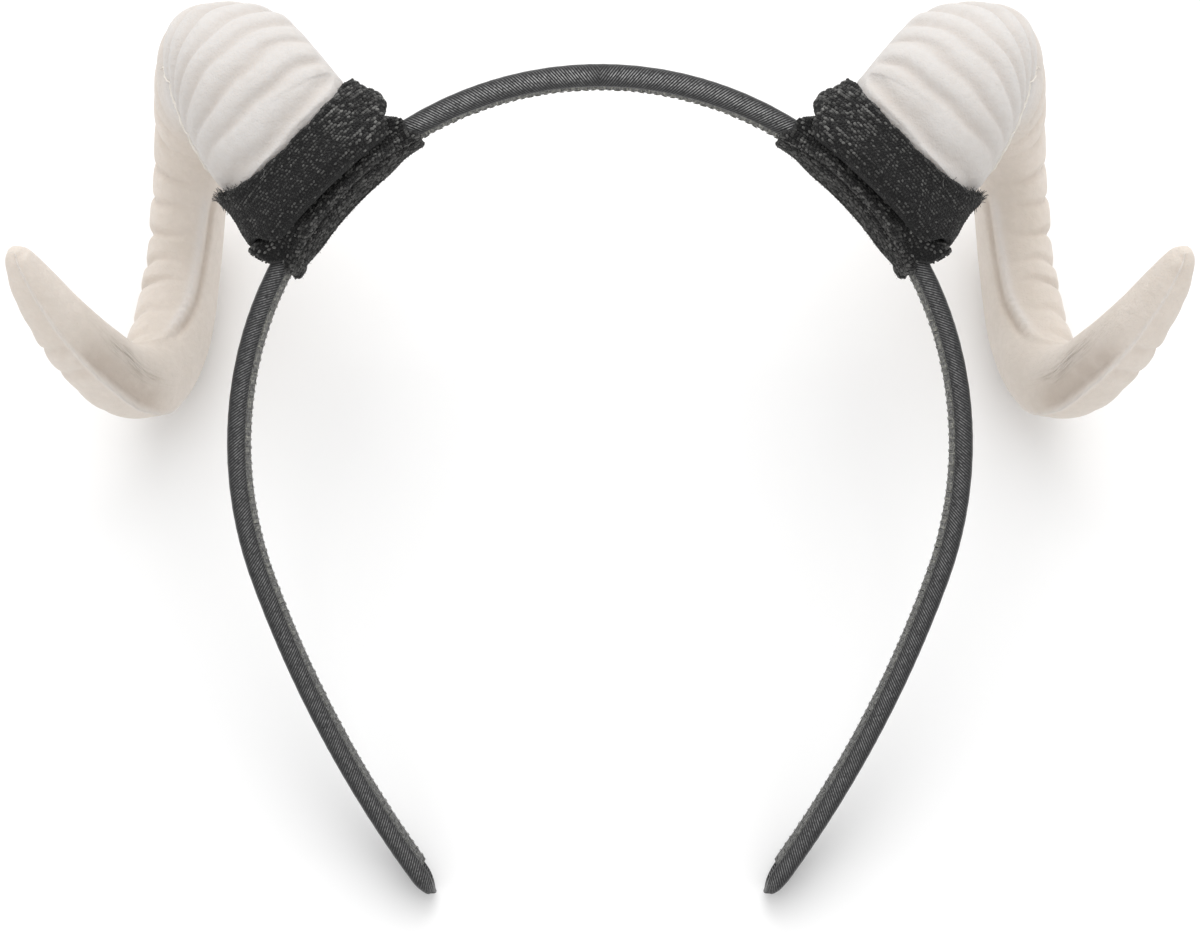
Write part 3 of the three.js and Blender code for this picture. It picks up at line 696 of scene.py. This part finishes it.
# The torn edge of skin is a thin fin of uneven height. Its foot is sunk in the foam.
TORN_ANGLE, TORN_RINGS, TORN_RISE, TORN_THICK, TORN_FOOT = -90, (2.7, 8.8), 0.42, 0.05, 0.2
TORN_SECTIONS, TORN_SIDES = 220, 8
HORN_RADIUS_THERE = 14
torn = np.linspace(*TORN_RINGS, TORN_SECTIONS)[:, None]
torn_places = row_of_ring(torn)
rise = TORN_RISE * (0.8 + 0.15 * np.sin(torn * 7) + 0.12 * np.sin(torn * 19 + 1))
rise = rise * within(torn, *TORN_RINGS, 0.4)
torn_angle = np.radians(TORN_ANGLE + 1.2 * np.sin(torn * 4) + 0.6 * np.sin(torn * 11))
torn_round = np.linspace(0, math.tau, TORN_SIDES, endpoint=False)[None, :]
torn_out = (rise + TORN_FOOT) * (0.5 + 0.5 * np.cos(torn_round)) - TORN_FOOT
torn_around = torn_angle + TORN_THICK * np.sin(torn_round) / HORN_RADIUS_THERE
torn_rings = horn_point(torn_places, torn_around, horn_relief(torn_places, torn_around)[0] + torn_out)
torn_weave = weave_map(torn[:, 0], np.linspace(0, 1, TORN_SIDES + 1))
for side in ("left", "right"):
    mirrored = side == "right"
    horn = skin(f"ram_horn_{side}", seated(horn_rings), horn_weave, mirrored=mirrored, shades=horn_shades)
    dress(horn, foam, "horn_foam", f"horn_{side}")
    fin = skin(f"torn_seam_{side}", seated(torn_rings), torn_weave, mirrored=mirrored)
    dress(fin, torn_foam, "horn_foam")

# Pad: a stuffed disc of the same knit between the tunnel and the horn's root, hidden by the collar.
PAD_SIDES, PAD_ROWS = 96, 17
heights = np.linspace(0, 1, PAD_ROWS)[:, None]
angles = np.linspace(0, math.tau, PAD_SIDES, endpoint=False)[None, :]
inset = 0.9 * np.abs(2 * heights - 1) ** 3
rings = horn_point(0, angles, -inset - 0.05 * np.sin(angles * 23))
rings[..., 1] = PAD_BOTTOM + PAD_THICK * heights
pad_weave = weave_map(heights[:, 0] * PAD_THICK, np.linspace(0, math.tau, PAD_SIDES + 1) * ROOT_LENGTH / 2)

knit = Finish("brushed_black_knit", 0.9, sheen=0.1, sheen_rough=0.5, specular=0.15)
flecks = knit.ramp(knit.noise(0.3, 2.0), 0.5, 0.7)
patches = knit.ramp(knit.noise(2.2, 3.0), 0.35, 0.65)
gleam = knit.ramp(knit.attribute("size"), 0.8, 1.3)
tone = knit.math("MULTIPLY", knit.math("POWER", knit.attribute("tone"), 2.5),
                 knit.math("MULTIPLY_ADD", gleam, 0.75, 0.25))
light = knit.math("MULTIPLY_ADD", tone, knit.math("MULTIPLY_ADD", patches, 0.6, 0.4),
                  knit.math("MULTIPLY", flecks, 0.1))
knit.link("Base Color", knit.mix(light, (0.012, 0.012, 0.012), (0.235, 0.232, 0.223)))
knit.bump(flecks, 0.1)
for side in ("left", "right"):
    pad = skin(f"stuffed_pad_{side}", seated(rings), pad_weave, mirrored=side == "right")
    dress(pad, knit, "knit", f"pad_{side}")

# Collar: a band cut from black brushed knit and stretched round the pad and the horn's root. Its ribs run
# along the hoop. Its raw top edge rises to a frayed ear at the outer end, and its foot hangs over the
# tunnel at the front and back.
COLLAR_HEIGHT = 6
COLLAR_WALL = 1.5
COLLAR_BULGE = 1.7
COLLAR_FOOT = -1.4
COLLAR_EAR = 4.1
COLLAR_PEAK = 2.0
COLLAR_SIDES = 180
COLLAR_ROWS, COLLAR_INSIDE_ROWS = 50, 16
COLLAR_ROUND = 22
RIB_PITCH = 0.56
STITCH_PITCH = 0.62
STITCH = {"Width": 0.42 * METRES, "Height": 0.38 * METRES, "Tilt": 0.25}
FIBRE = {"Length": 0.8 * METRES, "Width": 0.06 * METRES, "Height": 0.7 * METRES, "Tilt": 0.7,
         "Swing": math.pi}
EDGE_FIBRES = 560
FUZZ_FIBRES = 1000


def fibre_shape(tree, size):
    """One loose fibre, which rises from the cloth and bends over."""
    hair = add_node(tree, "GeometryNodeCurveQuadraticBezier", Resolution=3, Start=(0, 0, -0.1),
                    Middle=(0.15, 0, 0.8), End=(1, 0, 0.9)).outputs[0]
    scale = add_node(tree, "ShaderNodeCombineXYZ", _0=size["Length"], _1=size["Length"], _2=size["Height"])
    hair = add_node(tree, "GeometryNodeTransform", Geometry=hair, Scale=scale.outputs[0]).outputs[0]
    half = add_node(tree, "ShaderNodeMath", {"operation": "MULTIPLY"}, _0=size["Width"], _1=0.5).outputs[0]
    round_end = add_node(tree, "GeometryNodeCurvePrimitiveCircle", Resolution=3, Radius=half).outputs[0]
    return add_node(tree, "GeometryNodeCurveToMesh", Curve=hair, Profile_Curve=round_end,
                    Fill_Caps=True).outputs[0]


FIBRES = sower("fibre_sower", fibre_shape)


def row_of_height(height):
    rows = np.linspace(0, 4, 400)
    heights = horn_centre(rows)[:, 1]
    return np.where(height < ROOT_SEAT, 0, np.interp(height, heights, rows))


def collar_rim(angle):
    """The heights of the collar's foot and of its raw top edge, round the horn."""
    along = -np.sin(angle)
    skirt = smooth((0.93 - np.abs(along)) / 0.12)
    foot = PAD_BOTTOM + (COLLAR_FOOT + 0.65 * along - PAD_BOTTOM) * skirt - 0.05 * (1 - skirt)
    ear = np.where(along > 0, COLLAR_EAR * np.abs(along) ** 3, COLLAR_PEAK * along ** 4)
    wavy = 0.12 * np.sin(angle * 13) + 0.06 * np.sin(angle * 29 + 1) + 0.05 * np.sin(angle * 67)
    return foot, PAD_BOTTOM + COLLAR_HEIGHT + ear + wavy


def collar_point(height, angle, away):
    height, angle, away = np.broadcast_arrays(height, angle, away)
    flare = 0.5 * smooth((PAD_BOTTOM - height) / 3)
    points = horn_point(row_of_height(height), angle, away + flare)
    points[..., 1] = height
    return points


def collar_face(height, angle):
    """The outside of the collar, at heights over the hoop's centreline."""
    foot, top = collar_rim(angle)
    share = (height - foot) / (top - foot)
    bulge = np.interp(share, [0, 0.05, 0.12, 0.25, 0.4, 0.6, 0.8, 1],
                      [-0.5, 0.15, 0.55, 0.9, 0.8, 0.4, 0.12, 0])
    outer_end = smooth((-np.sin(angle) - 0.72) / 0.2)
    lobe = np.interp(share, [0, 0.08, 0.3, 0.5, 0.75, 1], [1.1, 1.4, 1.1, 0.7, 0.35, 0.2])
    bulge = bulge + (lobe - bulge) * outer_end
    crown_end = smooth((np.sin(angle) - 0.3) / 0.6)
    ribs = 0.05 * np.cos(math.tau * height / RIB_PITCH)
    ribs = ribs + 0.14 * crown_end * np.cos(math.tau * height / 1.4)
    edge = np.minimum(share, 1 - share) + 0.06 * outer_end
    soft_edge = 0.5 * (1 - smooth(edge / 0.06)) ** 2
    return collar_point(height, angle, GAP + COLLAR_WALL + COLLAR_BULGE * bulge + ribs - soft_edge)


def even_angles(point_of, pitch):
    """Angles round a piece that lie a pitch apart on its surface."""
    fine = np.linspace(0, math.tau, 2000)
    steps = np.diff(point_of(fine), axis=0, prepend=point_of(fine[:1]))
    lengths = np.cumsum(np.linalg.norm(steps, axis=1))
    return np.interp(np.arange(0, lengths[-1] - pitch / 2, pitch), lengths, fine)


def surface_bed(name, face, first, second, mirrored, to_worn, turn_worn, size=1.0):
    """A bed of points on a surface given by a function of two values, with its rows along the second."""
    step = 0.002
    points = face(first, second)
    along = face(first, second + step) - points
    outwards = np.cross(along, face(first + step, second) - points)
    return bed(name, to_worn(points), turn_worn(along), turn_worn(outwards), mirrored, size)


angles = np.linspace(0, math.tau, COLLAR_SIDES, endpoint=False)[None, :]
foot, top = collar_rim(angles)
outer = collar_face(foot + (top - foot) * np.linspace(0, 1, COLLAR_ROWS)[:, None], angles)
inside = foot + (top - foot) * np.linspace(1, 0, COLLAR_INSIDE_ROWS)[:, None]
inner = collar_point(inside, angles, GAP + 0.02)
collar_rings = np.concatenate([outer, inner])
around = np.linspace(0, math.tau, COLLAR_SIDES + 1) * ROOT_LENGTH / 2
collar_weave = weave_map(np.linspace(0, COLLAR_ROUND, len(collar_rings) + 1), around)[..., ::-1]

chance = np.random.default_rng(5)
even = even_angles(lambda angle: collar_face(5.0, angle), STITCH_PITCH)
rows = np.arange(-2, 15, RIB_PITCH)
height, angle = np.meshgrid(rows, even, indexing="ij")
angle = angle + (np.arange(len(rows)) % 2)[:, None] * STITCH_PITCH / 36
foot, top = collar_rim(angle)
kept = (height > foot + 0.15) & (height < top - 0.1)
stitch_height, stitch_angle = height[kept], angle[kept]
stitch_size = 0.95 + 0.4 * smooth((np.sin(stitch_angle) - 0.1) / 0.7)

edge_angle = chance.uniform(0, math.tau, EDGE_FIBRES)
ear_angle = math.radians(-90) + chance.normal(0, 0.45, EDGE_FIBRES)
fuzz_angle = chance.uniform(0, math.tau, FUZZ_FIBRES)
fibre_angle = np.concatenate([edge_angle, ear_angle, fuzz_angle])
foot, top = collar_rim(fibre_angle)
up_the_wall = np.concatenate([np.full(EDGE_FIBRES, 0.985), chance.uniform(0.9, 1.0, EDGE_FIBRES) ** 0.3,
                              chance.uniform(0.02, 0.98, FUZZ_FIBRES)])
fibre_height = foot + (top - foot) * np.minimum(up_the_wall, 0.99)
fibre_size = np.repeat([0.9, 1.6, 0.6], [EDGE_FIBRES, EDGE_FIBRES, FUZZ_FIBRES])
for side in ("left", "right"):
    mirrored = side == "right"
    collar = skin(f"knit_collar_{side}", seated(collar_rings), collar_weave, loop=True, mirrored=mirrored)
    dress(collar, knit, "knit", f"collar_{side}")
    stitches = surface_bed(f"collar_stitches_{side}", collar_face, stitch_height, stitch_angle, mirrored,
                           seated, seated_way, stitch_size)
    stitches = sow(stitches, STITCHES, knit, Length=0.62 * METRES, Swing=0.6, Seed=21, **STITCH)
    dress(stitches, knit, "knit")
    fray = surface_bed(f"collar_fibres_{side}", collar_face, fibre_height, fibre_angle, mirrored, seated,
                       seated_way, fibre_size)
    fray = sow(fray, FIBRES, knit, Seed=31, **FIBRE)
    dress(fray, knit, "knit")

# Tunnel: a strip of the same knit, rolled round the hoop under the pad and sewn to it. It is fullest in
# the middle, its ends are rounded under the pad, and a square-cut tongue stands out below each of them.
TUNNEL_LENGTH = 31
TUNNEL_BULGE = 3.4
TONGUE_LENGTH = 2.8
CROWN_LOBE, OUTER_LOBE = 1.3, 2.5
TUNNEL_TOP = HOOP_THICK / 2 + GAP + TUNNEL_WALL
TUNNEL_FLOOR = HOOP_THICK / 2 + GAP + STRIP_THICK + GAP + TUNNEL_WALL
TUNNEL_UNDER = 2.9
TUNNEL_SIDES = 110
TUNNEL_STEPS, HOLE_STEPS = 80, 16
TUNNEL_ROUND = 46
ROLL_SQUARENESS, HOLE_SQUARENESS = 3.2, 8


def tunnel_ring(share, angle, hole=False):
    """Points round the roll, or round the hole that the hoop passes through."""
    share, angle = np.broadcast_arrays(share, angle)
    fuller_end = 3 * smooth((share - 0.82) / 0.1)
    forwards, outwards = rounded_square(angle, HOLE_SQUARENESS if hole else ROLL_SQUARENESS + fuller_end)
    corner_off = np.where(share < 0, 0.9, 0.0) * smooth((outwards - 0.2) / 0.8)
    lobe = np.where(share < 0, CROWN_LOBE, OUTER_LOBE) * (smooth((outwards + 0.35) / 0.5) - corner_off)
    tongue = TONGUE_LENGTH * smooth(-outwards) - 0.6 * smooth((-outwards - 0.7) / 0.3) ** 2
    reach = TUNNEL_LENGTH / 2 + tongue + lobe
    distance = SEAT + share * reach
    at, out = hoop_at(distance)
    seat_at, seat_out = hoop_at(SEAT)
    drop = TUNNEL_TOP - (at - seat_at) @ seat_out
    top = HOOP_THICK / 2 + GAP if hole else drop / (out @ seat_out)
    top = top * (1 - 0.45 * smooth((-share - 0.85) / 0.15))
    up = outwards * np.where(outwards > 0, top, TUNNEL_FLOOR - (TUNNEL_WALL if hole else 0))
    width = HOOP_WIDTH / 2 + GAP
    if not hole:
        up = up + 0.2 * smooth((share - 0.85) / 0.1) * smooth(outwards)
        side = np.abs(forwards) ** 2
        full = np.where(share < 0, 0.74, 0.84)
        fullness = 1 - smooth((np.abs(share) - full + 0.3) / 0.42)
        bulge = (TUNNEL_BULGE + TUNNEL_UNDER * bell(up + 2.8, 1.0)) * fullness
        corner = bell(np.abs(forwards) - 0.86, 0.1) * (outwards < 0)
        seam = bell(np.abs(forwards) - 0.62, 0.08) * (outwards < 0)
        up = up - 0.3 * corner * (1 - share ** 6) + 0.8 * seam * (1 - share ** 6)
        round_off = 0.45 * (1 - np.sqrt(1 - np.clip((np.abs(share) - 0.97) / 0.03, 0, 1) ** 2))
        up = up * (1 - round_off / 3)
        cloth = 0.05 * np.cos(math.tau * up / RIB_PITCH) * side
        width = width + TUNNEL_WALL + bulge + cloth - round_off
    return beside_hoop(distance, up, forwards * width)


angles = np.linspace(0, math.tau, TUNNEL_SIDES, endpoint=False)[None, :] + 0.01
end_shares = 1 - 0.03 * (1 - np.sin(np.linspace(0.2, math.pi / 2, 5)))
shares = np.concatenate([-end_shares[::-1], np.linspace(-0.97, 0.97, TUNNEL_STEPS), end_shares])[:, None]
hole = tunnel_ring(np.linspace(1, -1, HOLE_STEPS)[:, None], angles, True)
tunnel_rings = np.concatenate([tunnel_ring(shares, angles), hole])
length = np.concatenate([shares[:, 0] * TUNNEL_LENGTH / 2, np.linspace(17, 34, HOLE_STEPS),
                         [-TUNNEL_LENGTH / 2]])
tunnel_weave = weave_map(length, np.linspace(0, TUNNEL_ROUND, TUNNEL_SIDES + 1))

even = even_angles(lambda angle: tunnel_ring(0.0, angle), RIB_PITCH)
columns = np.linspace(-0.99, 0.99, int(TUNNEL_LENGTH / STITCH_PITCH))
angle, share = np.meshgrid(even, columns, indexing="ij")
share = np.clip(share + (np.arange(len(even)) % 2)[:, None] / len(columns), -1, 1)
hidden = (np.sin(angle) > 0.9) & (np.abs(share) < 0.85)
stitch_angle, stitch_share = angle[~hidden], share[~hidden]
fuzz_angle, fuzz_share = chance.uniform(-3.6, 0.5, FUZZ_FIBRES), chance.uniform(-1, 1, FUZZ_FIBRES)


def as_worn(points):
    return points


def tunnel_face(angle, share):
    return tunnel_ring(share, angle)


for side in ("left", "right"):
    mirrored = side == "right"
    tunnel = skin(f"knit_tunnel_{side}", tunnel_rings, tunnel_weave, loop=True, mirrored=mirrored)
    dress(tunnel, knit, "knit", f"tunnel_{side}")
    stitches = surface_bed(f"tunnel_stitches_{side}", tunnel_face, stitch_angle, stitch_share, mirrored,
                           as_worn, as_worn, 1.15)
    stitches = sow(stitches, STITCHES, knit, Length=0.65 * METRES, Swing=0.5, Seed=41, **STITCH)
    dress(stitches, knit, "knit")
    fray = surface_bed(f"tunnel_fibres_{side}", tunnel_face, fuzz_angle, fuzz_share, mirrored, as_worn,
                       as_worn, 0.6)
    fray = sow(fray, FIBRES, knit, Seed=51, **FIBRE)
    dress(fray, knit, "knit")

# Studio: a pale floor, a large soft lamp over the crown's side, one overhead and an even white sky. The
# camera stands 400 mm in front of the worn headband, level with the middle of its height, so it looks down
# at right angles to the hoop.
CAMERA_BACK = 400
CAMERA_UP = -5.963
VIEW_WIDTH = 216
SENSOR_WIDTH = 36
FLOOR_SIZE = 6
SKY = 0.85

bpy.ops.mesh.primitive_plane_add(size=FLOOR_SIZE)
floor = bpy.context.object
floor.name = "floor"
paper = Finish("white_paper", 0.9, specular=0.2)
paper.link("Base Color", paper.mix(paper.noise(400), (0.96, 0.96, 0.96), (0.97, 0.97, 0.97)))
floor.data.materials.append(paper.material)

world = bpy.data.worlds.new("white_sky")
bpy.context.scene.world = world
world.use_nodes = True
world.node_tree.nodes["Background"].inputs["Color"].default_value = (1, 1, 1, 1)
world.node_tree.nodes["Background"].inputs["Strength"].default_value = SKY


def lamp(name, place, size, power):
    light = bpy.data.lights.new(name, "AREA")
    light.size = size
    light.energy = power
    made = bpy.data.objects.new(name, light)
    made.location = place
    made.rotation_euler = (-Vector(place)).to_track_quat("-Z", "Y").to_euler()
    bpy.context.scene.collection.objects.link(made)


lamp("crown_softbox", (0, 0.75, 0.75), 1.0, 5)
lamp("overhead_softbox", (0, 0.05, 1.1), 0.8, 2)

camera = bpy.data.objects.new("camera", bpy.data.cameras.new("camera"))
camera.data.sensor_width = SENSOR_WIDTH
camera.data.lens = SENSOR_WIDTH * CAMERA_BACK / VIEW_WIDTH
camera.location = to_floor([0, CAMERA_UP, CAMERA_BACK])
camera.rotation_euler = Matrix(TURN.tolist()).to_euler()
bpy.context.scene.collection.objects.link(camera)
bpy.context.scene.camera = camera
bpy.context.scene.view_settings.view_transform = "Standard"
